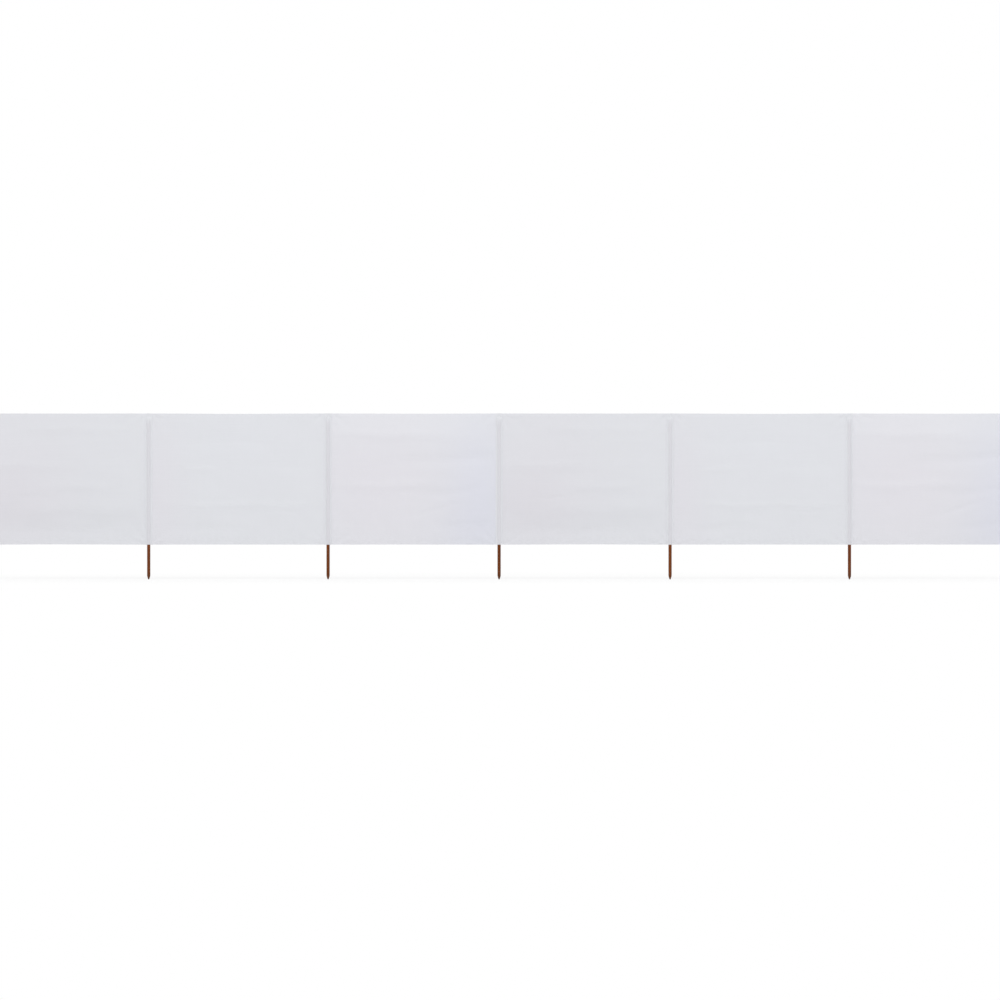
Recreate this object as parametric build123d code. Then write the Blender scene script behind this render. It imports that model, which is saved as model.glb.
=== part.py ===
from build123d import *

import os
from itertools import accumulate
from math import asin, atan, atan2, cos, hypot, pi, tan

# Beach windbreak: six bays of cloth on seven pointed wooden poles. All lengths are in millimetres.
# The row of poles runs along X, the cloth stands in the XZ plane and its front faces -Y.
# The origin is on the blunt tip of the middle pole.

# Poles, round rods with a blunt point
POLE_DIAMETER = 25.0
POINT_LENGTH = 26.0
TIP_DIAMETER = 9.0
SHOULDER_ROUND = 30.0
POLE_TOP_CHAMFER = 3.0
FOOT_LENGTH = 265.0  # bare pole below the cloth

# Cloth panels, one to each bay, pole centre to pole centre
NARROW_BAY = 1304.0
WIDE_BAY = 1368.0
CLOTH_HEIGHT = 1000.0
CLOTH_THICKNESS = 1.0

# Hems, turned over to the back of each panel
TOP_HEM = 25.0
BOTTOM_HEM = 25.0
FOLD_ROUND_SHARE = 0.8  # rounding of a folded edge, as a share of the cloth's thickness

# Sleeves that hold the poles and join the panels
SLEEVE_CLEARANCE = 0.3  # between the pole and the cloth round it
STITCH_MARGIN = 8.2  # from the pole's side to the stitch line
SLEEVE_FLANGE = 5.0  # from the stitch line to the edge of the strip
SLEEVE_TAPER = 18.0  # height over which the sleeve closes above the pole
POLE_HEADROOM = 2.0  # from the top of the pole to the start of the taper
CLOSED_RISE = 2.0  # how far a closed strip still stands off the panels
CLOSED_FOLD_RADIUS = 1.8  # fold at the outer edge of a closed end sleeve
WRAP_EASE = 0.4  # an end sleeve's corners bend this much tighter than the pole

# The cloth comes in two equal runs of three bays, and the poles stand at their ends
BAY_WIDTHS = [NARROW_BAY, WIDE_BAY, NARROW_BAY] * 2
POLE_PLACES = [x - sum(BAY_WIDTHS) / 2 for x in accumulate([0, *BAY_WIDTHS])]

# Heights that follow from the sizes above
CLOTH_BOTTOM = FOOT_LENGTH
CLOTH_TOP = CLOTH_BOTTOM + CLOTH_HEIGHT
HEM_LINE = CLOTH_TOP - TOP_HEM
TUNNEL_TOP = HEM_LINE - SLEEVE_TAPER
POLE_LENGTH = TUNNEL_TOP - POLE_HEADROOM

# Sleeve geometry that follows from the pole and the cloth
HALF_CLOTH = CLOTH_THICKNESS / 2
POLE_RADIUS = POLE_DIAMETER / 2
WRAP_RADIUS = POLE_RADIUS + SLEEVE_CLEARANCE
STITCH_OFFSET = POLE_RADIUS + STITCH_MARGIN
FLANGE_EDGE = STITCH_OFFSET + SLEEVE_FLANGE
FOLD_ROUND = FOLD_ROUND_SHARE * CLOTH_THICKNESS

# A strip leaves the stitch line at this slope to lie tangent to the pole
OPEN_SLOPE = asin(WRAP_RADIUS / hypot(STITCH_OFFSET, HALF_CLOTH)) - atan2(HALF_CLOTH, STITCH_OFFSET)
CLOSED_SLOPE = atan(CLOSED_RISE / STITCH_OFFSET)

# An end sleeve pressed flat reaches as far out as the cloth that goes half round the pole
WRAPPED_LENGTH = STITCH_OFFSET / cos(OPEN_SLOPE) - WRAP_RADIUS * tan(OPEN_SLOPE)
WRAPPED_LENGTH += WRAP_RADIUS * (pi / 2 + OPEN_SLOPE)
FLATTENED_REACH = WRAPPED_LENGTH - STITCH_OFFSET


def nearest_vertex(sketch, point):
    """The corner of a sketch at a given point of its plane."""
    return sketch.vertices().sort_by_distance(point)[0]


def make_pole():
    """A round rod turned about its axis, with its blunt tip on the ground plane."""
    tip = (TIP_DIAMETER / 2, 0)
    shoulder = (POLE_RADIUS, POINT_LENGTH)
    rim = (POLE_RADIUS, POLE_LENGTH)
    with BuildPart() as pole:
        with BuildSketch(Plane.XZ) as profile:
            with BuildLine():
                Polyline((0, 0), tip, shoulder, rim, (0, POLE_LENGTH), close=True)
            make_face()
            fillet(nearest_vertex(profile, shoulder), SHOULDER_ROUND)
            chamfer(nearest_vertex(profile, rim), POLE_TOP_CHAMFER)
        revolve(axis=Axis.Z)
    return pole.part


def make_panel(left, right):
    """A flat sheet between two poles, with its side edges on the sleeves' stitch lines."""
    width = right - left - 2 * STITCH_OFFSET
    middle = Vector((left + right) / 2, 0, CLOTH_BOTTOM + CLOTH_HEIGHT / 2)
    sheet = Pos(middle) * Box(width, CLOTH_THICKNESS, CLOTH_HEIGHT)
    folds = sheet.edges().filter_by(Axis.X).group_by(Axis.Y)[0]
    return fillet(folds, FOLD_ROUND)


def make_hem(left, right, low, high, fold_at_top):
    """The turned-over edge of a panel: a second layer of cloth on its back, between two sleeves."""
    width = right - left - 2 * FLANGE_EDGE
    middle = Vector((left + right) / 2, CLOTH_THICKNESS, (low + high) / 2)
    strip = Pos(middle) * Box(width, CLOTH_THICKNESS, high - low)
    outer_edges = strip.edges().filter_by(Axis.X).group_by(Axis.Y)[-1].sort_by(Axis.Z)
    return fillet(outer_edges[-1 if fold_at_top else 0], FOLD_ROUND)


def strip_face(inner_points, outer_points, bend_radius, height):
    """A level section through a strip of cloth, bent round the pole and creased at its stitch lines.

    The lines run from one flange edge to the other. Their first two and last two points are flanges,
    and the points between them are rounded.
    """
    with BuildSketch(Plane.XY.offset(height)) as section:
        with BuildLine():
            Polyline(*inner_points, *reversed(outer_points), close=True)
        make_face()
        for inner, outer in zip(inner_points[2:-2], outer_points[2:-2]):
            fillet(nearest_vertex(section, inner), bend_radius)
            fillet(nearest_vertex(section, outer), bend_radius + CLOTH_THICKNESS)
    return section.sketch.face()


def through_face(slope, height):
    """Section of a front strip: two flanges on the panels and a bulge over the pole."""
    flange_inside = -HALF_CLOTH
    flange_outside = flange_inside - CLOTH_THICKNESS
    apex_inside = flange_inside - STITCH_OFFSET * tan(slope)
    apex_outside = apex_inside - CLOTH_THICKNESS / cos(slope)
    outer_stitch = STITCH_OFFSET + CLOTH_THICKNESS * tan(slope / 2)
    inner_points = [
        (-FLANGE_EDGE, flange_inside),
        (-STITCH_OFFSET, flange_inside),
        (0, apex_inside),
        (STITCH_OFFSET, flange_inside),
        (FLANGE_EDGE, flange_inside),
    ]
    outer_points = [
        (-FLANGE_EDGE, flange_outside),
        (-outer_stitch, flange_outside),
        (0, apex_outside),
        (outer_stitch, flange_outside),
        (FLANGE_EDGE, flange_outside),
    ]
    return strip_face(inner_points, outer_points, WRAP_RADIUS, height)


def end_face(slope, reach, bend_radius, height):
    """Section of an end strip: it leaves the panel at +X, folds round the pole and comes back."""
    flange_inside = HALF_CLOTH
    flange_outside = flange_inside + CLOTH_THICKNESS
    outer_reach = reach + CLOTH_THICKNESS
    outer_stitch = STITCH_OFFSET + CLOTH_THICKNESS * tan(slope / 2)
    corner_inside = flange_inside + (STITCH_OFFSET + reach) * tan(slope)
    corner_outside = flange_inside + (STITCH_OFFSET + outer_reach) * tan(slope) + CLOTH_THICKNESS / cos(slope)
    inner_half = [
        (FLANGE_EDGE, flange_inside),
        (STITCH_OFFSET, flange_inside),
        (-reach, corner_inside),
    ]
    outer_half = [
        (FLANGE_EDGE, flange_outside),
        (outer_stitch, flange_outside),
        (-outer_reach, corner_outside),
    ]
    return strip_face(both_sides(inner_half), both_sides(outer_half), bend_radius, height)


def both_sides(half):
    """A line drawn on the back of the pole, carried on round to the front."""
    return half + [(x, -y) for x, y in reversed(half)]


def make_sleeve(open_face, closed_face):
    """A strip that is open round the pole, tapers above it and is closed along the top hem."""
    tunnel = extrude(open_face(CLOTH_BOTTOM), TUNNEL_TOP - CLOTH_BOTTOM)
    taper = loft([open_face(TUNNEL_TOP), closed_face(HEM_LINE)], ruled=True)
    cap = extrude(closed_face(HEM_LINE), TOP_HEM)
    return tunnel + taper + cap


def make_parts():
    """Every sub-part by name, in its place."""
    parts = {}
    pole = make_pole()
    for number, x in enumerate(POLE_PLACES, 1):
        parts[f"pole_{number}"] = Pos(x, 0, 0) * pole

    for number, (left, right) in enumerate(zip(POLE_PLACES, POLE_PLACES[1:]), 1):
        parts[f"panel_{number}"] = make_panel(left, right)
        parts[f"top_hem_{number}"] = make_hem(left, right, HEM_LINE, CLOTH_TOP, True)
        bottom_hem_line = CLOTH_BOTTOM + BOTTOM_HEM
        parts[f"bottom_hem_{number}"] = make_hem(left, right, CLOTH_BOTTOM, bottom_hem_line, False)

    front = make_sleeve(
        lambda height: through_face(OPEN_SLOPE, height),
        lambda height: through_face(CLOSED_SLOPE, height),
    )
    back = mirror(front, about=Plane.XZ)
    for number, x in list(enumerate(POLE_PLACES, 1))[1:-1]:
        parts[f"sleeve_front_{number}"] = Pos(x, 0, 0) * front
        parts[f"sleeve_back_{number}"] = Pos(x, 0, 0) * back

    end = make_sleeve(
        lambda height: end_face(OPEN_SLOPE, WRAP_RADIUS, WRAP_RADIUS - WRAP_EASE, height),
        lambda height: end_face(CLOSED_SLOPE, FLATTENED_REACH, CLOSED_FOLD_RADIUS, height),
    )
    parts["end_sleeve_left"] = Pos(POLE_PLACES[0], 0, 0) * end
    parts["end_sleeve_right"] = Pos(POLE_PLACES[-1], 0, 0) * mirror(end, about=Plane.YZ)
    return parts


os.makedirs("parts", exist_ok=True)
for name, part in make_parts().items():
    export_step(part, f"parts/{name}.step")
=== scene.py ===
import math
import bpy
import numpy as np
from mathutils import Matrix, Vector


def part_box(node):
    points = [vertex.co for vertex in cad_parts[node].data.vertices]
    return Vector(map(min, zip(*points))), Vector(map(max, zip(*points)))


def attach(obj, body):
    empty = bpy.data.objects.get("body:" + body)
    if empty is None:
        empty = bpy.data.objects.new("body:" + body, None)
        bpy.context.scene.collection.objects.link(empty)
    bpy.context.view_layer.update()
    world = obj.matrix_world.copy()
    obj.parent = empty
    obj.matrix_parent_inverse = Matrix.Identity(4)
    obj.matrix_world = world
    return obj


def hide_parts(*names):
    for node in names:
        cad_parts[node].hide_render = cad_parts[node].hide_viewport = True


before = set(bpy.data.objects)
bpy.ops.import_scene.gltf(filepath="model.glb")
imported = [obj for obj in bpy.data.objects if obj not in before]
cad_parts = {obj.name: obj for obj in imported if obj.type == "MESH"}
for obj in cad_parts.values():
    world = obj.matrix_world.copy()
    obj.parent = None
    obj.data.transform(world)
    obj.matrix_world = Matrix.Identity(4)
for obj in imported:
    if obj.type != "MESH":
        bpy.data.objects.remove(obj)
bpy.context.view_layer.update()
print("frame loaded,", len(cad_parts), "solids")

# sizes read off the solids, in metres
poleNodes = sorted(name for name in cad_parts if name.startswith("pole_"))
poleCount = len(poleNodes)
poleX = [(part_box(name)[0][0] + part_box(name)[1][0]) / 2 for name in poleNodes]
poleRadius = (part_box("pole_1")[1][0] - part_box("pole_1")[0][0]) / 2
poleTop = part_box("pole_1")[1][2]
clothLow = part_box("panel_1")[0][2]
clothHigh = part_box("panel_1")[1][2]
clothHeight = clothHigh - clothLow
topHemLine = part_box("top_hem_1")[0][2]
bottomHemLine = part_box("bottom_hem_1")[1][2]
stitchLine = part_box("panel_1")[0][0] - poleX[0]  # from a pole's middle to its seam
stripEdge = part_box("sleeve_front_2")[1][0] - poleX[1]  # from a pole's middle to the edge of its strip

# one cloth for panels and sleeves
cloth = {
    "thickness": 0.0005,
    "layer": 0.00062,  # from one folded layer to the next
}


# Smooth step: 0 below low, 1 above high, with the cubic 3t^2 - 2t^3 between them.
def smoothStep(value, low, high):
    t = np.clip((value - low) / (high - low), 0.0, 1.0)
    return t * t * (3.0 - 2.0 * t)


# Length so far along a line of points.
def runLength(line):
    return np.concatenate([[0.0], np.cumsum(np.linalg.norm(np.diff(line, axis=0), axis=1))])


# The numbers of a grid's points, row by row; a closed grid repeats its first column at the end.
def gridNumbers(rows, columns, closed=False):
    numbers = np.arange(rows * columns).reshape(rows, columns)
    return np.pad(numbers, ((0, 0), (0, 1)), mode="wrap") if closed else numbers


# Quads between neighbouring rows and columns of a grid of point numbers.
def gridFaces(numbers):
    corners = [numbers[:-1, :-1], numbers[:-1, 1:], numbers[1:, 1:], numbers[1:, :-1]]
    return np.stack(corners, axis=-1).reshape(-1, 4)


# A mesh object at the origin from points (n, 3) and sets of faces (m, 3 or 4), with an optional map in
# metres and attributes, each one value a point.
def makePiece(name, points, faceSets, material, mapMetres=None, attributes=None):
    mesh = bpy.data.meshes.new(name)
    points = np.asarray(points, dtype=np.float32).reshape(-1, 3)
    corners = np.concatenate([faces.ravel() for faces in faceSets]).astype(np.int32)
    totals = np.concatenate([np.full(len(faces), faces.shape[1]) for faces in faceSets]).astype(np.int32)
    starts = np.concatenate([[0], np.cumsum(totals)[:-1]]).astype(np.int32)
    mesh.vertices.add(len(points))
    mesh.vertices.foreach_set("co", points.ravel())
    mesh.loops.add(len(corners))
    mesh.loops.foreach_set("vertex_index", corners)
    mesh.polygons.add(len(totals))
    mesh.polygons.foreach_set("loop_start", starts)
    mesh.polygons.foreach_set("loop_total", totals)
    mesh.polygons.foreach_set("use_smooth", np.ones(len(totals), dtype=bool))
    if mapMetres is not None:
        layer = mesh.uv_layers.new(name="clothMap")
        flatMap = np.asarray(mapMetres, dtype=np.float32).reshape(-1, 2)
        layer.data.foreach_set("uv", flatMap[corners].ravel())
    for key, values in (attributes or {}).items():
        attribute = mesh.attributes.new(key, "FLOAT", "POINT")
        attribute.data.foreach_set("value", np.asarray(values, dtype=np.float32).ravel())
    mesh.update(calc_edges=True)
    mesh.validate()
    mesh.materials.append(material)
    piece = bpy.data.objects.new(name, mesh)
    bpy.context.scene.collection.objects.link(piece)
    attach(piece, "root")
    return piece


# Gives a sheet the cloth's thickness, half to each side.
def thicken(piece):
    solid = piece.modifiers.new("thickness", "SOLIDIFY")
    solid.thickness = cloth["thickness"]
    solid.offset = 0.0


# Short names for building the nodes of a material or a world.
class Graph:
    def __init__(self, owner):
        owner.use_nodes = True
        self.nodes = owner.node_tree.nodes
        self.links = owner.node_tree.links

    # a new node with its settings
    def add(self, kind, **settings):
        node = self.nodes.new("ShaderNode" + kind)
        for key, value in settings.items():
            setattr(node, key, value)
        return node

    # fills a node's inputs, each from a socket, a number or a triple
    def fill(self, node, values):
        for key, value in values.items():
            socket = node.inputs[key]
            if isinstance(value, bpy.types.NodeSocket):
                self.links.new(value, socket)
            elif socket.type == "RGBA":
                socket.default_value = (*value, 1.0)
            else:
                socket.default_value = value
        return node

    # one arithmetic step on sockets or numbers
    def reckon(self, operation, *values):
        return self.fill(self.add("Math", operation=operation), dict(enumerate(values))).outputs[0]

    # noise on a stretched copy of some coordinates
    def noise(self, coordinates, stretch, detail, roughness=0.5):
        place = self.fill(self.add("Mapping"), {"Vector": coordinates, "Scale": stretch})
        values = {"Vector": place.outputs[0], "Scale": 1.0, "Detail": detail, "Roughness": roughness}
        return self.fill(self.add("TexNoise"), values).outputs[0]

    # maps a 0 to 1 value on to a low to high range
    def spread(self, value, low, high):
        return self.fill(self.add("MapRange"), {"Value": value, "To Min": low, "To Max": high}).outputs[0]

    # blends two colours, each a socket or a triple, by a socket or a number
    def blend(self, factor, first, second, mode="MIX"):
        node = self.add("Mix", data_type="RGBA", blend_type=mode)
        return self.fill(node, {0: factor, 6: first, 7: second}).outputs[2]

    # multiplies a colour by one value
    def shade(self, colour, value):
        grey = self.fill(self.add("CombineColor"), {0: value, 1: value, 2: value})
        return self.blend(1.0, colour, grey.outputs[0], "MULTIPLY")

    # one of the piece's own attributes
    def attribute(self, name):
        return self.add("Attribute", attribute_name=name).outputs["Fac"]

    # a bumped normal from a height
    def bump(self, height, strength, distance):
        values = {"Height": height, "Strength": strength, "Distance": distance}
        return self.fill(self.add("Bump"), values).outputs[0]

    # puts a mix of two shaders on the output
    def mixOut(self, output, factor, first, second):
        mix = self.fill(self.add("MixShader"), {0: factor, 1: first.outputs[0], 2: second.outputs[0]})
        self.fill(self.nodes[output], {"Surface": mix.outputs[0]})


weave = {
    "white": (0.747, 0.757, 0.790),
    "coolTint": (0.715, 0.729, 0.808),
    "blushTint": (0.752, 0.740, 0.782),
    "threadPitch": 0.0007,
    "overShare": 0.35,  # how much higher every other crossing stands
    "bumpHeight": 0.00009,
    "bumpStrength": 0.6,
    "gapShade": 0.05,  # painted shade: how much darker the gaps between threads are
    "slubStretch": (2.5, 260.0, 1.0),  # thick threads across the bay
    "fibreStretch": (220.0, 3.0, 1.0),  # and up it
    "mottleStretch": (3.0, 7.0, 1.0),
    "slubTone": 0.020,  # how much a thick thread's tone differs
    "mottleTone": 0.012,
    "roughness": (0.74, 0.88),
    "gloss": 0.25,
    "sheen": 0.05,
    "sheenRoughness": 0.6,
    "letsThrough": 0.08,  # share of the light that passes through
}


# Plain weave on the flat map in metres: with u and v a half turn to each thread, the height is
# |sin u sin v| and a share of sin u sin v. The white is moved towards its tints by the piece's attributes,
# and multiplied by painted shade in the gaps, by tones for thick threads each way, which are drawn-out
# noise, for a slow mottle, and from an attribute, which on sleeves also holds painted shade and light.
def makeClothMaterial(name):
    material = bpy.data.materials.new(name)
    graph = Graph(material)
    flat = graph.add("UVMap", uv_map="clothMap").outputs[0]
    split = graph.fill(graph.add("SeparateXYZ"), {0: flat}).outputs
    halfTurn = math.pi / weave["threadPitch"]
    across = graph.reckon("SINE", graph.reckon("MULTIPLY", split["X"], halfTurn))
    up = graph.reckon("SINE", graph.reckon("MULTIPLY", split["Y"], halfTurn))
    knots = graph.reckon("MULTIPLY", across, up)
    crossings = graph.reckon("ABSOLUTE", knots)
    height = graph.reckon("MULTIPLY_ADD", knots, weave["overShare"], crossings)

    slubs = graph.noise(flat, weave["slubStretch"], 2.0)
    fibres = graph.noise(flat, weave["fibreStretch"], 2.0)
    mottle = graph.noise(flat, weave["mottleStretch"], 3.0)
    # painted shade in the gaps between threads, kept to the same mean
    gapShade = weave["gapShade"]
    meanCrossing = (2.0 / math.pi) ** 2
    tone = graph.reckon("MULTIPLY_ADD", crossings, gapShade, 1.0 - gapShade * meanCrossing)
    changes = (weave["slubTone"], weave["slubTone"] / 2, weave["mottleTone"])
    for pattern, change in zip((slubs, fibres, mottle), changes):
        tone = graph.reckon("MULTIPLY", tone, graph.spread(pattern, 1.0 - change, 1.0 + change))
    # the tone attribute: on sleeves it holds painted shade over the pole and painted light on the tunnel's
    # sides
    tone = graph.reckon("MULTIPLY", tone, graph.reckon("ADD", graph.attribute("tone"), 1.0))
    tinted = graph.blend(graph.attribute("cool"), weave["white"], weave["coolTint"])
    # blush: on sleeves it is the painted reddish shade over the pole
    tinted = graph.blend(graph.attribute("blush"), tinted, weave["blushTint"])
    colour = graph.shade(tinted, tone)

    surface = graph.fill(graph.nodes["Principled BSDF"], {
        "Base Color": colour,
        "Roughness": graph.spread(slubs, *weave["roughness"]),
        "Specular IOR Level": weave["gloss"],
        "Sheen Weight": weave["sheen"],
        "Sheen Roughness": weave["sheenRoughness"],
        "Normal": graph.bump(height, weave["bumpStrength"], weave["bumpHeight"]),
    })
    passing = graph.fill(graph.add("BsdfTranslucent"), {"Color": colour})
    graph.mixOut("Material Output", weave["letsThrough"], surface, passing)
    return material


thread = {
    "white": (0.83, 0.83, 0.86),
    "dullShare": 0.94,  # where the thread is worn
    "grooveShadeShare": 0.90,  # painted shade between the plies
    "wornStretch": (40.0, 40.0, 40.0),
    "twists": 2600.0,
    "roughness": 0.5,
    "gloss": 0.35,
    "pitch": 0.0052,
    "length": 0.0042,
    "radius": 0.00036,
    # a stitch from end to end: share of its length, size and lift, the last two in radii
    "along": (0.0, 0.25, 0.75, 1.0),
    "size": (0.45, 1.0, 1.0, 0.45),
    "lift": (-0.5, 0.35, 0.35, -0.5),
}


# Sewing thread: its plies are a slanted ripple of painted shade, darker in the grooves, a sine of x + y +
# z, over slow noise for wear.
def makeThreadMaterial():
    material = bpy.data.materials.new("sewingThread")
    graph = Graph(material)
    place = graph.add("TexCoord").outputs["Object"]
    split = graph.fill(graph.add("SeparateXYZ"), {0: place}).outputs
    slant = graph.reckon("ADD", graph.reckon("ADD", split["X"], split["Y"]), split["Z"])
    ply = graph.reckon("SINE", graph.reckon("MULTIPLY", slant, thread["twists"]))
    dull = tuple(thread["dullShare"] * value for value in thread["white"])
    groove = tuple(thread["grooveShadeShare"] * value for value in thread["white"])
    worn = graph.noise(place, thread["wornStretch"], 2.0)
    colour = graph.blend(worn, thread["white"], dull)
    # painted shade in the grooves between the plies, in place of a bump
    colour = graph.blend(graph.reckon("MULTIPLY_ADD", ply, 0.5, 0.5), colour, groove)
    graph.fill(graph.nodes["Principled BSDF"], {
        "Base Color": colour,
        "Roughness": thread["roughness"],
        "Specular IOR Level": thread["gloss"],
    })
    return material


stain = {
    "mid": (0.168, 0.045, 0.0115),
    "dark": (0.086, 0.022, 0.006),
    "pale": (0.256, 0.080, 0.025),
    "soiled": (0.088, 0.045, 0.026),  # the point, rubbed by sand
    "bandStretch": (95.0, 95.0, 1.6),
    "bandBlend": (-0.4, 1.4),  # from mid to dark
    "fibreStretch": (520.0, 520.0, 7.0),
    "fibreBlend": (-1.6, 2.0),  # to pale
    "poreStretch": (1700.0, 1700.0, 32.0),
    "poreBlend": (-2.2, 2.0),  # to dark again
    "roughness": (0.62, 0.86),
    "gloss": 0.1,
    "bumpHeight": 0.0003,
    "bumpStrength": 0.5,
}


# Stained softwood: growth bands, fibres and pores are three scales of noise drawn out along the pole,
# each blended over the one before. Attributes deepen the stain from pole to pole and soil the point.
def makeWoodMaterial():
    material = bpy.data.materials.new("stainedPoleWood")
    graph = Graph(material)
    place = graph.add("TexCoord").outputs["Object"]
    bands = graph.noise(place, stain["bandStretch"], 2.0)
    fibres = graph.noise(place, stain["fibreStretch"], 5.0, 0.7)
    pores = graph.noise(place, stain["poreStretch"], 2.0)
    grain = graph.blend(graph.spread(bands, *stain["bandBlend"]), stain["mid"], stain["dark"])
    grain = graph.blend(graph.spread(fibres, *stain["fibreBlend"]), grain, stain["pale"])
    grain = graph.blend(graph.spread(pores, *stain["poreBlend"]), grain, stain["dark"])
    grain = graph.shade(grain, graph.attribute("stainDepth"))
    grain = graph.blend(graph.attribute("soiled"), grain, stain["soiled"])
    height = graph.reckon("ADD", fibres, pores)
    graph.fill(graph.nodes["Principled BSDF"], {
        "Base Color": grain,
        "Roughness": graph.spread(fibres, *stain["roughness"]),
        "Specular IOR Level": stain["gloss"],
        "Normal": graph.bump(height, stain["bumpStrength"], stain["bumpHeight"]),
    })
    return material


panelCloth = makeClothMaterial("panelCloth")
sleeveCloth = makeClothMaterial("sleeveCloth")
sewingThread = makeThreadMaterial()
poleWood = makeWoodMaterial()
print("materials made")

bay = {
    "columnStep": 0.013,
    "rowStep": 0.012,
    "edgeStep": 0.004,  # finer, for a margin along the edges
    "edgeMargin": 0.04,
    "turnUnder": 0.010,  # raw edge turned in under a hem
    "foldInset": 0.001,  # where a fold starts, from the edge of its hem
    "foldSteps": 6,
    "underRows": 4,
    "backRows": 7,
    "heldStrip": 0.006,  # lies flat under the sleeve's edge
    "heldFade": 0.03,
    "belly": (0.009, -0.007, 0.010, 0.009, -0.007, 0.010),
    "patterns": 3,  # the bays repeat in threes
    "topSag": (0.0004, 0.0030, 0.0018),  # of each pattern's top edge
    "lowRise": (0.0018, 0.0006, 0.0005),  # and of its bottom edge, between the poles
    "slackWave": 0.0026,
    "slackFade": 0.10,  # as a share of the height
    "slackMargin": 0.15,
    "pucker": 0.0011,
    "puckerPitch": 0.041,
    "puckerFade": 0.028,
    "hemPucker": 0.0005,
    "hemPuckerPitch": 0.058,
    "hemPuckerReach": 0.03,
    "cornerPull": 0.0022,
    "cornerReach": 0.16,
    "cornerFolds": 11.0,
    "cornerStart": 0.02,
    "creaseDepth": 0.0052,
    "creaseWander": 0.006,
    "wanderRun": 0.09,
    "hemTone": 0.008,
    "hemToneEdge": 0.002,
    # soft creases: across share, up share, half length and width in metres, share of the depth, slope
    "creases": (
        ((0.25, 0.60, 0.34, 0.042, -0.9, 0.01), (0.58, 0.44, 0.24, 0.036, -0.9, 0.00),
         (0.62, 0.27, 0.50, 0.060, -1.2, 0.01), (0.45, 0.11, 0.48, 0.050, 0.9, 0.01),
         (0.60, 0.88, 0.45, 0.036, -0.6, -0.01), (0.30, 0.36, 0.16, 0.014, 0.4, 0.06)),
        ((0.27, 0.57, 0.13, 0.018, -0.6, 0.01), (0.56, 0.30, 0.52, 0.026, -0.7, 0.00),
         (0.45, 0.79, 0.42, 0.040, 0.6, 0.01), (0.75, 0.60, 0.24, 0.034, 0.5, -0.02),
         (0.30, 0.12, 0.30, 0.040, 0.6, 0.02)),
        ((0.74, 0.65, 0.40, 0.046, 1.3, 0.04), (0.34, 0.45, 0.38, 0.036, -1.1, 0.01),
         (0.36, 0.84, 0.46, 0.040, -1.0, -0.02), (0.74, 0.40, 0.20, 0.034, 0.8, 0.12),
         (0.66, 0.28, 0.14, 0.022, 0.6, 0.30), (0.80, 0.14, 0.24, 0.036, 0.7, 0.04)),
    ),
    # soft patches: across share, up share, reach across and up as shares, change of tone, coolness, blush
    "patches": (
        ((0.10, 0.30, 0.36, 0.30, -0.024, 0.0, 0.5), (0.60, 0.20, 0.55, 0.14, -0.019, 0.0, 0.0),
         (0.45, 0.60, 0.90, 0.70, -0.012, 0.0, 0.0), (0.24, 0.55, 0.42, 0.60, 0.0, 0.0, 0.5)),
        ((0.03, 0.35, 0.16, 0.55, -0.006, 0.0, 0.7), (0.60, 0.75, 0.50, 0.30, 0.002, 0.05, 0.0)),
        ((0.45, 0.97, 0.60, 0.16, 0.034, 0.0, 0.0), (0.28, 0.45, 0.52, 0.60, 0.013, 0.0, 0.95),
         (0.88, 0.40, 0.22, 0.50, 0.0, 0.85, 0.0), (0.86, 0.08, 0.28, 0.24, -0.018, 0.2, 0.0)),
    ),
}
bayPhases = np.random.default_rng(41).uniform(0.0, 2.0 * math.pi, (poleCount - 1, 12))


# The two stitch lines that a bay's cloth runs between.
def bayEnds(number):
    return poleX[number] + stitchLine, poleX[number + 1] - stitchLine


# How far the cloth of a bay stands back at (x, z): a belly between the poles, slack waves that die out up
# from the bottom edge, puckers along the seams and hems, folds that run in from the corners, and soft
# creases, each a bell across its line that fades to its ends. All of it is nothing where the sleeves hold
# the cloth flat.
def clothDepth(number, x, z):
    left, right = bayEnds(number)
    width = right - left
    u = (x - left) / width
    v = (z - clothLow) / clothHeight
    phase = bayPhases[number]
    inside = np.minimum(x - left, right - x)
    belly = np.sin(math.pi * np.clip(u, 0, 1)) ** 2 * np.sin(math.pi * (0.15 + 0.7 * v))
    depth = bay["belly"][number] * belly
    wave = np.sin(7.0 * math.pi * u + phase[0]) + 0.6 * np.sin(11.0 * math.pi * u + phase[1])
    slack = np.exp(-v / bay["slackFade"]) * smoothStep(inside, 0.0, bay["slackMargin"])
    depth = depth + bay["slackWave"] * wave * slack
    ripple = np.sin(2.0 * math.pi * z / bay["puckerPitch"] + phase[2] + 2.0 * np.sin(9.0 * z + phase[3]))
    depth = depth + bay["pucker"] * ripple * np.exp(-inside / bay["puckerFade"])
    turn = phase[9] + 1.5 * np.sin(x / 0.13 + phase[10])
    ripple = np.sin(2.0 * math.pi * x / bay["hemPuckerPitch"] + turn)
    fromHem = np.minimum(np.abs(z - bottomHemLine), np.abs(topHemLine - z))
    depth = depth + bay["hemPucker"] * ripple * np.exp(-((fromHem / bay["hemPuckerReach"]) ** 2))
    for side, away in ((0, x - left), (1, right - x)):
        for end, fall in ((0, z - clothLow), (1, clothHigh - z)):
            fan = np.arctan2(fall + bay["cornerStart"], away + bay["cornerStart"])
            folds = np.sin(bay["cornerFolds"] * fan + phase[4 + 2 * side + end])
            depth = depth + bay["cornerPull"] * folds * np.exp(-np.hypot(away, fall) / bay["cornerReach"])
    for across, up, halfLength, halfWidth, share, rise in bay["creases"][number % bay["patterns"]]:
        run = (u - across) * width
        wander = bay["creaseWander"] * np.sin(run / bay["wanderRun"] + phase[8])
        line = (v - up) * clothHeight - rise * run - wander
        bell = np.exp(-((line / halfWidth) ** 2)) * np.exp(-((run / halfLength) ** 4))
        depth = depth + bay["creaseDepth"] * share * bell
    return depth * smoothStep(inside, bay["heldStrip"], bay["heldStrip"] + bay["heldFade"])


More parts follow.
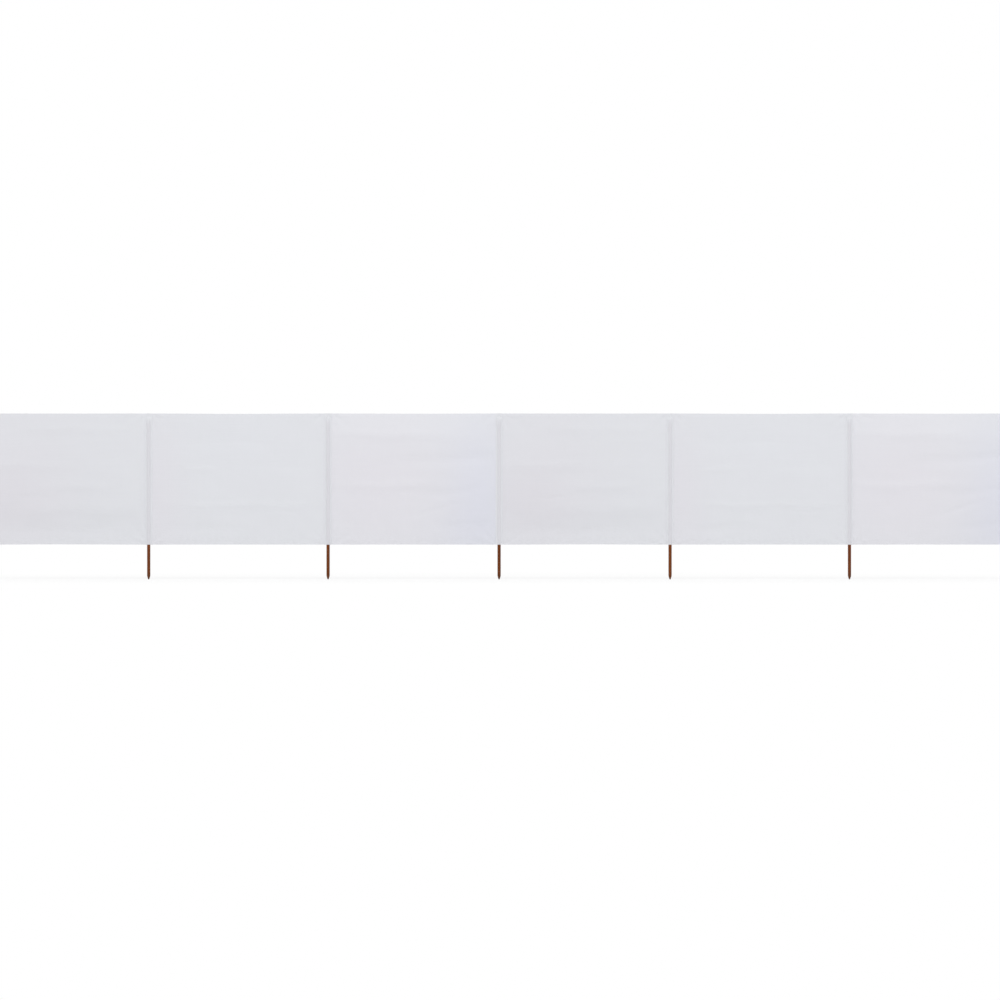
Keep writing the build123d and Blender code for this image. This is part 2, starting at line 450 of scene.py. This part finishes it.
# How far the cloth of a bay is lifted at (x, z): its top edge sags and its bottom edge is drawn up
# between the poles, as the square of a sine across the bay, shared out evenly between the two edges.
def clothRise(number, x, z):
    left, right = bayEnds(number)
    pattern = number % bay["patterns"]
    middle = np.sin(math.pi * np.clip((x - left) / (right - left), 0.0, 1.0)) ** 2
    v = (z - clothLow) / clothHeight
    return middle * (bay["lowRise"][pattern] * (1.0 - v) - bay["topSag"][pattern] * v)


# Spacing that is fine at both ends: even steps of edgeStep for a margin, and of about step between.
def fineEnds(low, high, step):
    margin = bay["edgeMargin"]
    edge = np.arange(0.0, margin, bay["edgeStep"])
    count = max(2, int(round((high - low - 2 * margin) / step)) + 1)
    return np.concatenate([low + edge, np.linspace(low + margin, high - margin, count), high - edge[::-1]])


# The cloth's way from its lower raw edge to its upper one, as height and layer: up inside the bottom hem,
# round its fold, down the back, round the bottom fold, up the face, and the same again over the top.
def hemmedPath():
    gap = cloth["layer"]
    inset = bay["foldInset"]
    half = np.linspace(0.0, math.pi, bay["foldSteps"] + 1)[1:-1]

    # a hem's heights above its own edge and its layers, from the raw edge on
    def hem(wide):
        under = np.linspace(wide - bay["turnUnder"], wide - inset, bay["underRows"])
        back = np.linspace(wide - inset, inset, bay["backRows"])
        heights = [under, wide - inset + gap / 2 * np.sin(half), back, inset - gap * np.sin(half)]
        innerFold = gap * (1.5 - 0.5 * np.cos(half))
        outerFold = gap * (1.0 + np.cos(half))
        layers = [np.full(len(under), gap), innerFold, np.full(len(back), 2 * gap), outerFold]
        return np.concatenate(heights), np.concatenate(layers)

    face = fineEnds(clothLow + inset, clothHigh - inset, bay["rowStep"])
    lowHeights, lowLayers = hem(bottomHemLine - clothLow)
    topHeights, topLayers = hem(clothHigh - topHemLine)
    height = np.concatenate([clothLow + lowHeights, face, clothHigh - topHeights[::-1]])
    layer = np.concatenate([lowLayers, np.zeros(len(face)), topLayers[::-1]])
    return height, layer


# A bay of cloth: the hemmed path carried from seam to seam, each point moved back by clothDepth and up by
# clothRise. Its tones are a change along the hems and the sum of soft patches, each a bell both ways.
def makeBay(number):
    left, right = bayEnds(number)
    x = fineEnds(left, right, bay["columnStep"])
    height, layer = hemmedPath()
    gridX, gridZ = np.meshgrid(x, height)
    gridY = clothDepth(number, gridX, gridZ) + layer[:, None]
    points = np.stack([gridX, gridY, gridZ + clothRise(number, gridX, gridZ)], axis=-1)
    length = runLength(np.stack([height, layer], axis=-1))
    mapMetres = np.stack(np.meshgrid(x - left, length), axis=-1)
    u = (gridX - left) / (right - left)
    v = (gridZ - clothLow) / clothHeight
    edge = bay["hemToneEdge"]
    inHem = smoothStep(gridZ, topHemLine - edge, topHemLine + edge)
    inHem = inHem + 1.0 - smoothStep(gridZ, bottomHemLine - edge, bottomHemLine + edge)
    tones = {"tone": bay["hemTone"] * inHem, "cool": 0.0 * u, "blush": 0.0 * u}
    for across, up, reachU, reachV, *changes in bay["patches"][number % bay["patterns"]]:
        patch = np.exp(-(((u - across) / reachU) ** 2) - ((v - up) / reachV) ** 2)
        for key, change in zip(tones, changes):
            tones[key] = tones[key] + change * patch
    faces = gridFaces(gridNumbers(len(height), len(x)))
    piece = makePiece(f"bayCloth_{number + 1}", points, [faces], panelCloth, mapMetres, tones)
    thicken(piece)
    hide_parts(f"panel_{number + 1}", f"top_hem_{number + 1}", f"bottom_hem_{number + 1}")
    return piece, (right - left, float(length[-1]))


sleeve = {
    "ease": 0.00095,  # from the pole to the middle of the cloth round it
    "arcSteps": 9,
    "sideSteps": 4,
    "bendSteps": 4,
    "flatSteps": 2,
    "foldSteps": 4,
    "turnSteps": 3,
    "creaseRun": 0.0025,  # to each side of the stitch line
    "foldInset": 0.0005,  # where the fold starts, from the strip's edge
    "turnUnder": 0.0065,
    "rowStep": 0.014,
    "closeRows": 25,  # where the sleeve closes over the pole's top
    "closeStart": 0.01,
    "closeEnds": (0.001, 0.002),  # closing from below the pole's top to above the hem line
    "gather": 0.0022,  # height of the gathers where a sleeve is closed
    "gathers": 3,
    "pressed": 0.75,  # how far stitching presses them down
    "pressReach": 0.004,
    "wrinkle": 0.0006,
    "slantPitch": (0.06, 0.05),  # up and along, of the fine wrinkles
    "slowPitch": (0.23, 0.12),  # and of the slow ones
    "wrinkleReach": (0.05, 0.04),  # at the pole's top and at the mouth
    "closedShare": 0.3,  # how much of the wrinkles is left where a sleeve is closed
    "flatMargin": 0.008,  # no wrinkles so near to the stitch line
    "endMargin": 0.01,  # and on an end sleeve to its middle too
    "endFold": 0.004,  # of an end sleeve pressed flat
    "endSlack": 0.001,
    "hemRamp": 0.006,  # over which a back strip climbs on to a hem
    "mouthHem": (0.0, 0.004, 0.009, 0.014),  # rows of the hem turned inside at the mouth
    "poleShade": -0.060,  # painted shade of the red-brown pole seen faintly through the cloth, and of the tunnel's slopes beside it
    # painted reddish shade over the pole
    "poleShadeBlush": 0.55,
    "poleReach": 1.3,  # in pole radii
    "poleFade": (-0.005, 0.055),  # down from the pole's top
    "seamAndSideLight": 0.022,  # painted light on the tunnel's shaded sides, and whiter seam allowances past the stitch line
    "seamStart": 0.95,  # in pole radii
    "capRows": (0.003, 0.021),  # stitching across the closed top, above the hem line
    "mouthRow": 0.011,
}
wrapRadius = poleRadius + sleeve["ease"]
stripLift = 2 * cloth["layer"]  # the strip's edge lies on its own turning, and that on the panel
wrapSlope = math.asin(wrapRadius / math.hypot(stitchLine, stripLift)) - math.atan2(stripLift, stitchLine)
sleevePhases = np.random.default_rng(77).uniform(0.0, 2.0 * math.pi, (poleCount, 6))


# Half of a strip's section, from the pole out to the turned edge, as distance across, distance out,
# whether the point is on the tunnel (1) or the flat edge (0), and length so far: an arc round the pole
# from startAngle, a line that leaves it on the tangent, a rounded crease at the stitch line, the flat
# edge, its fold, and the turning.
def halfSection(startAngle):
    # shares from just above 0 up to 1, one to a row
    def shares(count):
        return np.linspace(0.0, 1.0, count + 1)[1:, None]

    angle = np.linspace(startAngle, wrapSlope, sleeve["arcSteps"] + 1)
    arc = np.stack([wrapRadius * np.sin(angle), wrapRadius * np.cos(angle)], axis=-1)
    crease = np.array([stitchLine, stripLift])
    before = crease - sleeve["creaseRun"] * np.array([math.cos(wrapSlope), -math.sin(wrapSlope)])
    after = crease + np.array([sleeve["creaseRun"], 0.0])
    side = arc[-1] + shares(sleeve["sideSteps"]) * (before - arc[-1])
    t = shares(sleeve["bendSteps"])
    bend = (1 - t) ** 2 * before + 2 * t * (1 - t) * crease + t**2 * after
    edge = np.array([stripEdge - sleeve["foldInset"], stripLift])
    flat = after + shares(sleeve["flatSteps"]) * (edge - after)
    half = math.pi * shares(sleeve["foldSteps"])[:, 0]
    radius = cloth["layer"] / 2
    fold = np.stack([edge[0] + radius * np.sin(half), stripLift - radius * (1 - np.cos(half))], axis=-1)
    turning = fold[-1] + shares(sleeve["turnSteps"]) * np.array([-sleeve["turnUnder"], 0.0])
    line = np.concatenate([arc, side, bend, flat, fold, turning])
    tunnelPoints = len(arc) + len(side) + len(bend)
    onTunnel = np.concatenate([np.ones(tunnelPoints), np.zeros(len(line) - tunnelPoints)])
    return line[:, 0], line[:, 1], onTunnel, runLength(line)


# Rows of a sleeve: the mouth's hem, then even up the pole, closer where it closes over the pole's top.
def sleeveRows():
    mouth = clothLow + np.array(sleeve["mouthHem"])
    low = np.arange(mouth[-1] + sleeve["rowStep"], poleTop - 2 * sleeve["closeStart"], sleeve["rowStep"])
    high = np.linspace(poleTop - sleeve["closeStart"], clothHigh, sleeve["closeRows"])
    return np.concatenate([mouth, low, high])


# How far a sleeve is closed at height z: open up to the pole's top, closed from the hem line up.
def closedShare(z):
    below, above = sleeve["closeEnds"]
    return smoothStep(z, poleTop - below, topHemLine + above)


# How far the back strips are lifted by the hems that they cross.
def hemLift(z):
    low = 1.0 - smoothStep(z, bottomHemLine, bottomHemLine + sleeve["hemRamp"])
    high = smoothStep(z, topHemLine - sleeve["hemRamp"], topHemLine)
    return 2 * cloth["layer"] * (low + high)


# Fine wrinkles of a sleeve, always outwards: slanting and slow waves, strongest at the mouth and at the
# pole's top, and lower where the sleeve is closed.
def sleeveWrinkle(number, along, z, closed):
    phase = sleevePhases[number]
    up, run = sleeve["slantPitch"]
    turn = phase[0] + 1.5 * np.sin(z / 0.11 + phase[1])
    slant = np.sin(2.0 * math.pi * (z / up + along / run) + turn)
    up, run = sleeve["slowPitch"]
    slow = np.sin(2.0 * math.pi * (z / up - along / run) + phase[2])
    topReach, mouthReach = sleeve["wrinkleReach"]
    strength = 0.35 + 0.65 * np.exp(-((z - poleTop) / topReach) ** 2)
    strength = strength + 0.4 * np.exp(-((z - clothLow) / mouthReach) ** 2)
    strength = strength * (sleeve["closedShare"] + (1 - sleeve["closedShare"]) * (1 - closed))
    return sleeve["wrinkle"] * strength * (1.0 + 0.6 * slant + 0.4 * slow) / 2.0


# How far the gathers of a closed top stand up at height z: pressed down where stitching crosses them.
def gatherShare(z):
    rows = topHemLine + np.array(sleeve["capRows"])
    press = np.exp(-(((z - rows) / sleeve["pressReach"]) ** 2)).sum(axis=1, keepdims=True)
    return 1.0 - sleeve["pressed"] * press


# Tones of a sleeve: painted shade, darker and redder, over the pole and beside it, fading out below its
# top, and painted light on the tunnel's sides that runs on to the seam allowances, where the cloth is also
# whiter.
def sleeveTones(across, z):
    # painted shade over the pole and just beside it
    poleShadeMask = np.exp(-((across / (sleeve["poleReach"] * poleRadius)) ** 4))
    poleShadeMask = poleShadeMask * smoothStep(poleTop - z, *sleeve["poleFade"])
    # painted light on the tunnel's sides, from the pole's edge out to the stitch line, and the whiter seam
    # allowances past it
    seamAndSideMask = smoothStep(np.abs(across), sleeve["seamStart"] * poleRadius, stitchLine)
    tone = sleeve["poleShade"] * poleShadeMask + sleeve["seamAndSideLight"] * seamAndSideMask
    return {"tone": tone, "cool": 0.0 * tone, "blush": sleeve["poleShadeBlush"] * poleShadeMask}


# Stitch line across a sleeve at height z over some columns: the rows either side are mixed by their
# heights, and the normal is the cross product of the run along the line and the way up.
def levelLine(points, z, columns, outward):
    heights = points[:, 0, 2]
    row = int(np.searchsorted(heights, z)) - 1
    share = (z - heights[row]) / (heights[row + 1] - heights[row])
    line = (1 - share) * points[row, columns] + share * points[row + 1, columns]
    up = points[row + 1, columns] - points[row, columns]
    normal = outward * np.cross(np.gradient(line, axis=0), up)
    normal = normal / np.linalg.norm(normal, axis=1, keepdims=True)
    return line + cloth["thickness"] / 2 * normal, normal


# A sleeve from its sections, x along the row of poles and y away from it, each row at its height. At the
# mouth a hem is turned inside: the free columns of the lowest rows moved in by one layer along the
# section's normals, joined to the first row by a fold. Returns the piece, its flat size and its points.
def makeSleeve(name, node, number, turn, x, y, along, free, tones):
    z = sleeveRows()
    height = np.broadcast_to(z[:, None], x.shape)
    points = np.stack([poleX[number] + turn[0] * x, turn[1] * y, height], axis=-1)
    hemCount = len(sleeve["mouthHem"])
    runX = np.gradient(x[:hemCount], axis=1)[:, free]
    runY = np.gradient(y[:hemCount], axis=1)[:, free]
    scale = cloth["layer"] / np.hypot(runX, runY)
    inside = points[:hemCount, free].copy()
    inside[..., 0] += turn[0] * runY * scale
    inside[..., 1] -= turn[1] * runX * scale
    fold = (inside[:1] + points[:1, free]) / 2
    fold[..., 2] -= cloth["layer"] / 2
    hem = np.concatenate([inside[::-1], fold])
    numbers = gridNumbers(*x.shape)
    hemNumbers = x.size + gridNumbers(hemCount + 1, len(free))
    faces = [gridFaces(numbers), gridFaces(np.concatenate([hemNumbers, numbers[:1, free]]))]
    if turn[0] * turn[1] > 0:
        faces = [side[:, ::-1] for side in faces]
    hemHeights = np.concatenate([2 * z[0] - z[hemCount - 1::-1], z[:1]])
    mapMetres = np.concatenate([
        np.stack(np.meshgrid(along, z), axis=-1).reshape(-1, 2),
        np.stack(np.meshgrid(along[free], hemHeights), axis=-1).reshape(-1, 2),
    ])
    allPoints = np.concatenate([points.reshape(-1, 3), hem.reshape(-1, 3)])
    allTones = {}
    for key, values in tones.items():
        allTones[key] = np.concatenate([values.ravel(), np.tile(values[0, free], hemCount + 1)])
    piece = makePiece(name, allPoints, faces, sleeveCloth, mapMetres, allTones)
    thicken(piece)
    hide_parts(node)
    return piece, (float(along[-1] - along[0]), clothHeight + sleeve["mouthHem"][-1]), points


# One strip of a sleeve on an inner pole: the half section and its mirror carried up the pole. Above the
# pole it is drawn flat: points go to their share of the flat width, and the rest stands up as gathers.
def makeStrip(number, side):
    across, out, onTunnel, length = halfSection(0.0)
    across = np.concatenate([-across[:0:-1], across])
    out = np.concatenate([out[:0:-1], out])
    onTunnel = np.concatenate([onTunnel[:0:-1], onTunnel])
    along = np.concatenate([-length[:0:-1], length])
    z = sleeveRows()[:, None]
    closed = closedShare(z)
    tunnelEnd = np.abs(along[onTunnel > 0]).max()
    flatAcross = np.where(onTunnel > 0, along / tunnelEnd * (stitchLine + sleeve["creaseRun"]), across)
    wave = 0.5 - 0.5 * np.cos(2 * math.pi * sleeve["gathers"] * (flatAcross / stitchLine + 1) / 2)
    wave = np.where((onTunnel > 0) & (np.abs(flatAcross) < stitchLine), wave, 0.0)
    flatOut = np.where(onTunnel > 0, stripLift, out) + sleeve["gather"] * gatherShare(z) * wave
    x = (1 - closed) * across + closed * flatAcross
    y = (1 - closed) * out + closed * flatOut
    loose = onTunnel * smoothStep(stitchLine - np.abs(across), 0.0, sleeve["flatMargin"])
    y = y + loose * sleeveWrinkle(number, along, z, closed)
    if side > 0:
        y = y + hemLift(z)
    word = "back" if side > 0 else "front"
    name = f"sleeve{word.capitalize()}_{number + 1}"
    node = f"sleeve_{word}_{number + 1}"
    free = np.flatnonzero(np.abs(across) < stitchLine - sleeve["creaseRun"])
    tones = sleeveTones(across, z)
    piece, flat, points = makeSleeve(name, node, number, (1, side), x, y, along, free, tones)
    rows = [levelLine(points, clothLow + sleeve["mouthRow"], free, -side)]
    sewn = np.flatnonzero((np.abs(along) < tunnelEnd) & (onTunnel > 0))
    for rise in sleeve["capRows"]:
        rows.append(levelLine(points, topHemLine + rise, sewn, -side))
    return piece, flat, rows


# The strip folded round an end pole: the half section starts on the pole's outer side and its mirror
# comes back. Above the pole it is pressed flat, each point at its own length from the stitch line, round
# a small fold.
def makeEndSleeve(number, inward):
    across, out, onTunnel, length = halfSection(-math.pi / 2)
    z = sleeveRows()[:, None]
    closed = closedShare(z)
    tunnelEnd = length[onTunnel > 0].max()
    flatAcross = np.where(onTunnel > 0, stitchLine + sleeve["creaseRun"] - (tunnelEnd - length), across)
    rounded = np.sqrt(np.clip(1 - (1 - np.minimum(length / sleeve["endFold"], 1.0)) ** 2, 0, 1))
    slack = sleeve["endSlack"] * gatherShare(z) * np.sin(math.pi * np.minimum(length / tunnelEnd, 1.0))
    flatOut = np.where(onTunnel > 0, rounded * (stripLift + slack), out)
    x = (1 - closed) * across + closed * flatAcross
    y = (1 - closed) * out + closed * flatOut
    loose = onTunnel * smoothStep(length, 0.0, sleeve["endMargin"])
    loose = loose * smoothStep(tunnelEnd - length, 0.0, sleeve["endMargin"])
    y = y + loose * sleeveWrinkle(number, length, z, closed)
    back = y + hemLift(z) * smoothStep(across, 0.0, stitchLine)
    x = np.concatenate([x[:, :0:-1], x], axis=1)
    y = np.concatenate([-y[:, :0:-1], back], axis=1)
    along = np.concatenate([-length[:0:-1], length])
    across = np.concatenate([across[:0:-1], across])
    word = "left" if inward > 0 else "right"
    name = f"endSleeve{word.capitalize()}"
    node = f"end_sleeve_{word}"
    free = np.flatnonzero(across < stitchLine - sleeve["creaseRun"])
    tones = sleeveTones(across, z)
    piece, flat, points = makeSleeve(name, node, number, (inward, 1), x, y, along, free, tones)
    rows = [levelLine(points, clothLow + sleeve["mouthRow"], free, -inward)]
    for rise in sleeve["capRows"]:
        for face in (-1, 1):
            sewn = np.flatnonzero((face * along > sleeve["endFold"]) & (face * along < tunnelEnd))
            rows.append(levelLine(points, topHemLine + rise, sewn, -inward))
    return piece, flat, rows


pole = {
    "sides": 36,
    "pointLength": 0.026,
    "tipRadius": 0.0045,
    "tipRounding": 0.0004,
    "shoulder": 0.0006,  # how softly the point runs into the rod
    "topChamfer": 0.003,
    "chamferSlope": 0.9,
    "tipRows": (0.0, 0.0006, 0.002),
    "pointRows": (0.0032, 0.004),  # from above the tip to above the shoulder
    "rodRows": (0.006, 0.008),  # from above the shoulder to below the top
    "topRows": (4 / 3, 1.0, 0.4, 0.0),  # down from the top, in chamfers
    "rowStep": 0.016,
    "unevenness": 0.00012,
    "chipDepth": 0.0003,  # small chips round the tip
    "chipReach": 0.006,
    "turningPitch": 0.0024,  # rings left by the tool that cut the point
    "turningDepth": 0.00008,
    "turningEnds": (0.006, 0.004),  # fading from below the shoulder to above it
    "soil": 0.75,
    "soilReach": 0.045,
    "depths": (1.0, 1.03, 0.98, 0.92, 1.06, 0.98, 1.0),  # how the stain differs from pole to pole
}
polePhases = np.random.default_rng(5).uniform(0.0, 2.0 * math.pi, (poleCount, 8))


# Heights of a pole's rings: a few at the tip, four to each turning ring on the point, even steps up the
# rod, and the chamfer at the top.
def poleRows():
    start, past = pole["pointRows"]
    point = np.arange(start, pole["pointLength"] + past, pole["turningPitch"] / 4)
    above, below = pole["rodRows"]
    rod = np.arange(pole["pointLength"] + above, poleTop - below, pole["rowStep"])
    top = poleTop - pole["topChamfer"] * np.array(pole["topRows"])
    return np.concatenate([pole["tipRows"], point, rod, top])


# A turned pole: its radius at height z is the soft minimum of the point's cone and the rod, less the
# chamfer at the top and the turning rings on the point, with slow uneven waves and small chips round it.
# That is carried round the axis, and both ends are closed by a fan.
def makePole(number):
    phase = polePhases[number]
    z = poleRows()
    cone = pole["tipRadius"] + (poleRadius - pole["tipRadius"]) * z / pole["pointLength"]
    soft = pole["shoulder"]
    radius = -soft * np.log(np.exp(-cone / soft) + np.exp(-poleRadius / soft))
    overChamfer = np.clip(z - (poleTop - pole["topChamfer"]), 0, None)
    radius = np.minimum(radius, poleRadius - overChamfer * pole["chamferSlope"])
    below, above = pole["turningEnds"]
    onPoint = 1.0 - smoothStep(z, pole["pointLength"] - below, pole["pointLength"] + above)
    rings = 1.0 + np.sin(2.0 * math.pi * z / pole["turningPitch"])
    radius = radius - pole["turningDepth"] * onPoint * rings
    radius[0] -= pole["tipRounding"]
    angle = np.linspace(0.0, 2.0 * math.pi, pole["sides"], endpoint=False)
    turned, height = np.meshgrid(angle, z)
    uneven = np.sin(2 * turned + 5.0 * height + phase[0])
    uneven = uneven + 0.6 * np.sin(3 * turned - 11.0 * height + phase[1])
    uneven = uneven + 0.5 * np.sin(40.0 * height + phase[2])
    chipped = np.sin(3 * turned + phase[3]) + 0.5 * np.sin(5 * turned + phase[4])
    chipped = np.clip(np.exp(-height / pole["chipReach"]) * chipped, 0, None)
    reach = radius[:, None] - pole["unevenness"] * (1.0 + 0.5 * uneven) - pole["chipDepth"] * chipped
    points = np.stack([poleX[number] + reach * np.cos(turned), reach * np.sin(turned), height], axis=-1)
    ends = np.array([[poleX[number], 0.0, z[0]], [poleX[number], 0.0, z[-1]]])
    points = np.concatenate([points.reshape(-1, 3), ends])
    first = np.arange(pole["sides"])
    after = (first + 1) % pole["sides"]
    last = (len(z) - 1) * pole["sides"]
    tip = np.full_like(first, len(points) - 2)
    faces = [
        gridFaces(gridNumbers(len(z), pole["sides"], True)),
        np.stack([tip, after, first], axis=-1),
        np.stack([tip + 1, last + first, last + after], axis=-1),
    ]
    soiled = pole["soil"] * np.exp(-((points[:, 2] / pole["soilReach"]) ** 2))
    soiled = soiled * (0.8 + 0.2 * np.sin(60.0 * points[:, 0] + phase[5]))
    looks = {"soiled": soiled, "stainDepth": np.full(len(points), pole["depths"][number])}
    piece = makePiece(f"turnedPole_{number + 1}", points, faces, poleWood, None, looks)
    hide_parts(f"pole_{number + 1}")
    return piece


# Stitches along a line of points with outward normals: at even lengths along the line a small bead of
# thread, three sided with one side down, thinner at its ends and dipping into the cloth. Returns points
# and faces of one mesh.
def stitchRow(line, normal):
    run = runLength(line)
    count = max(1, int(run[-1] / thread["pitch"]))
    starts = (run[-1] - count * thread["pitch"]) / 2 + thread["pitch"] * np.arange(count)
    starts = starts + (thread["pitch"] - thread["length"]) / 2
    lengths = starts[:, None] + thread["length"] * np.array(thread["along"])
    middle = np.stack([np.interp(lengths, run, line[:, k]) for k in range(3)], axis=-1)
    out = np.stack([np.interp(lengths, run, normal[:, k]) for k in range(3)], axis=-1)
    out /= np.linalg.norm(out, axis=-1, keepdims=True)
    ahead = middle[:, -1:] - middle[:, :1]
    ahead = ahead / np.linalg.norm(ahead, axis=-1, keepdims=True)
    beside = np.cross(out, ahead)
    corners = 3
    angle = 2.0 * math.pi * (np.arange(corners) + 0.75) / corners
    size = thread["radius"] * np.array(thread["size"])[:, None]
    lift = thread["radius"] * np.array(thread["lift"])[:, None]
    rise = (lift + size * np.sin(angle))[None, :, :, None]
    spread = (size * np.cos(angle))[None, :, :, None]
    points = middle[:, :, None] + out[:, :, None] * rise + beside[:, :, None] * spread
    numbers = gridNumbers(len(thread["along"]), corners, True)
    first = len(thread["along"]) * corners * np.arange(count)[:, None, None]
    sides = gridFaces(numbers)[None] + first
    ends = np.stack([numbers[0, corners - 1::-1], numbers[-1, :corners]])[None] + first
    return points.reshape(-1, 3), sides.reshape(-1, 4), ends.reshape(-1, 3)


# Joins stitch rows into one piece.
def makeStitching(name, rows):
    allPoints, allSides, allEnds = zip(*[stitchRow(line, normal) for line, normal in rows])
    firsts = np.cumsum([0] + [len(points) for points in allPoints])
    sides = np.concatenate([part + first for part, first in zip(allSides, firsts)])
    ends = np.concatenate([part + first for part, first in zip(allEnds, firsts)])
    piece = makePiece(name, np.concatenate(allPoints), [sides, ends], sewingThread)
    return piece


seam = {
    "hemInset": 0.0025,  # from a hem's inner edge to its stitches
    "edgeInset": 0.0028,  # from the stitch line to the stitches on the strip
    "lineStep": 0.004,
    "hemMargin": 0.002,  # clear of the strips
    "endMargin": 0.003,  # clear of the cloth's top and bottom
}


# Hem stitching of a bay, on both faces of the cloth: level lines that follow clothDepth and clothRise.
def hemRows(number):
    margin = stripEdge + seam["hemMargin"]
    x = np.arange(poleX[number] + margin, poleX[number + 1] - margin, seam["lineStep"])
    rows = []
    for height in (bottomHemLine - seam["hemInset"], topHemLine + seam["hemInset"]):
        z = np.full_like(x, height)
        y = clothDepth(number, x, z)
        lifted = z + clothRise(number, x, z)
        for face, layers in ((-1, 0), (1, 2 * cloth["layer"])):
            line = np.stack([x, y + layers + face * cloth["thickness"] / 2, lifted], axis=-1)
            rows.append((line, np.broadcast_to(np.array([0.0, face, 0.0]), line.shape)))
    return rows


# Seams of a sleeve: straight lines up the flat edges of its strips, front and back.
def seamRows(number, sides):
    z = np.arange(clothLow + seam["endMargin"], clothHigh - seam["endMargin"], seam["lineStep"])
    rows = []
    for inward in sides:
        for face in (-1, 1):
            x = np.full_like(z, poleX[number] + inward * (stitchLine + seam["edgeInset"]))
            y = stripLift + cloth["thickness"] / 2 + (hemLift(z) if face > 0 else 0.0 * z)
            line = np.stack([x, face * y, z], axis=-1)
            rows.append((line, np.broadcast_to(np.array([0.0, face, 0.0]), line.shape)))
    return rows


for index in range(poleCount - 1):
    made, flat = makeBay(index)
    stitching = makeStitching(f"hemStitching_{index + 1}", hemRows(index))
print("bays made")

for index in range(poleCount):
    makePole(index)
    if index in (0, poleCount - 1):
        sides = (1 if index == 0 else -1,)
        strips = [makeEndSleeve(index, sides[0])]
    else:
        sides = (-1, 1)
        strips = [makeStrip(index, face) for face in (-1, 1)]
    sewn = seamRows(index, sides) + [row for piece, flat, rows in strips for row in rows]
    stitching = makeStitching(f"seamStitching_{index + 1}", sewn)
print("poles and sleeves made")

studio = {
    "floorSize": 160.0,
    "floorColour": (0.90, 0.90, 0.90),
    "floorRoughness": 0.9,
    "floorShadow": 0.32,  # how much of the floor that the camera sees is lit, and so takes the shadow
    "shadowReach": (8.0, 4.5),  # along and away from the row, where that ends
    "shadowStart": 0.5,  # as a share of the reach, where it starts to fade
    "white": (1.0, 1.0, 1.0),
    "worldLevel": 0.86,
    "lampSize": (26.0, 3.0),
    "lampAim": (0.0, 0.0, 0.6),
    "keyPower": 310.0,
    "keyPlace": (0.0, -5.0, 6.0),
    "fillPower": 130.0,
    "fillPlace": (0.0, 6.0, 5.0),
    "frameWidth": 7.626,
    "lens": 200.0,
    "sensor": 36.0,
    "farthest": 400.0,
    "aim": (0.0069, 0.0, 0.6051),
}


# 1 for rays that should see the plain white background: from the camera, or by way of gloss or glass.
def seesBackground(graph):
    path = graph.add("LightPath").outputs
    reflected = graph.reckon("MAXIMUM", path["Is Glossy Ray"], path["Is Transmission Ray"])
    return graph.reckon("MAXIMUM", path["Is Camera Ray"], reflected)


# A plain floor at the poles' tips: white to the camera, with a share of real shading for the shadow.
def makeFloor():
    half = studio["floorSize"] / 2
    mesh = bpy.data.meshes.new("floor")
    corners = [(-half, -half, 0), (half, -half, 0), (half, half, 0), (-half, half, 0)]
    mesh.from_pydata(corners, [], [(0, 1, 2, 3)])
    material = bpy.data.materials.new("paleFloor")
    graph = Graph(material)
    surface = graph.fill(graph.nodes["Principled BSDF"], {
        "Base Color": studio["floorColour"],
        "Roughness": studio["floorRoughness"],
        "Specular IOR Level": 0.0,
    })
    stretch = (1.0 / studio["shadowReach"][0], 1.0 / studio["shadowReach"][1], 0.0)
    place = graph.add("TexCoord").outputs["Object"]
    away = graph.fill(graph.add("Mapping"), {"Vector": place, "Scale": stretch})
    distance = graph.fill(graph.add("VectorMath", operation="LENGTH"), {0: away.outputs[0]})
    white = graph.fill(graph.add("MapRange", interpolation_type="SMOOTHSTEP"), {
        "Value": distance.outputs["Value"],
        "From Min": studio["shadowStart"],
        "To Min": 1.0 - studio["floorShadow"],
    })
    seen = graph.reckon("MULTIPLY", seesBackground(graph), white.outputs[0])
    graph.mixOut("Material Output", seen, surface, graph.add("Emission"))
    mesh.materials.append(material)
    floor = bpy.data.objects.new("floor", mesh)
    bpy.context.scene.collection.objects.link(floor)


# Even white light all round, and a white background at a strength of 1.
def makeWorld():
    world = bpy.data.worlds.new("studio")
    graph = Graph(world)
    light = graph.nodes["Background"]
    graph.fill(light, {"Color": studio["white"], "Strength": studio["worldLevel"]})
    backdrop = graph.fill(graph.add("Background"), {"Color": studio["white"], "Strength": 1.0})
    graph.mixOut("World Output", seesBackground(graph), light, backdrop)
    bpy.context.scene.world = world


# Points an object's -Z at a place.
def aimAt(thing, place):
    direction = np.array(place) - np.array(thing.location)
    flatRun = math.hypot(direction[0], direction[1])
    tilt = math.atan2(flatRun, -direction[2])
    thing.rotation_euler = (tilt, 0.0, math.atan2(-direction[0], direction[1]))


# A wide soft lamp, longer than the row.
def makeLamp(name, power, place):
    lamp = bpy.data.lights.new(name, "AREA")
    lamp.shape = "RECTANGLE"
    lamp.size, lamp.size_y = studio["lampSize"]
    lamp.energy = power
    thing = bpy.data.objects.new(name, lamp)
    thing.location = place
    aimAt(thing, studio["lampAim"])
    bpy.context.scene.collection.objects.link(thing)


# Square on, from far away with a long lens, so that the row shows almost without perspective.
def makeCamera():
    camera = bpy.data.cameras.new("front")
    camera.lens = studio["lens"]
    camera.sensor_width = studio["sensor"]
    camera.clip_end = studio["farthest"]
    thing = bpy.data.objects.new("front", camera)
    away = studio["frameWidth"] * studio["lens"] / studio["sensor"]
    thing.location = (studio["aim"][0], studio["aim"][1] - away, studio["aim"][2])
    aimAt(thing, studio["aim"])
    bpy.context.scene.collection.objects.link(thing)
    bpy.context.scene.camera = thing


makeFloor()
makeWorld()
makeLamp("softKey", studio["keyPower"], studio["keyPlace"])
makeLamp("softFill", studio["fillPower"], studio["fillPlace"])
makeCamera()
bpy.context.scene.view_settings.view_transform = "Standard"
print("studio made")
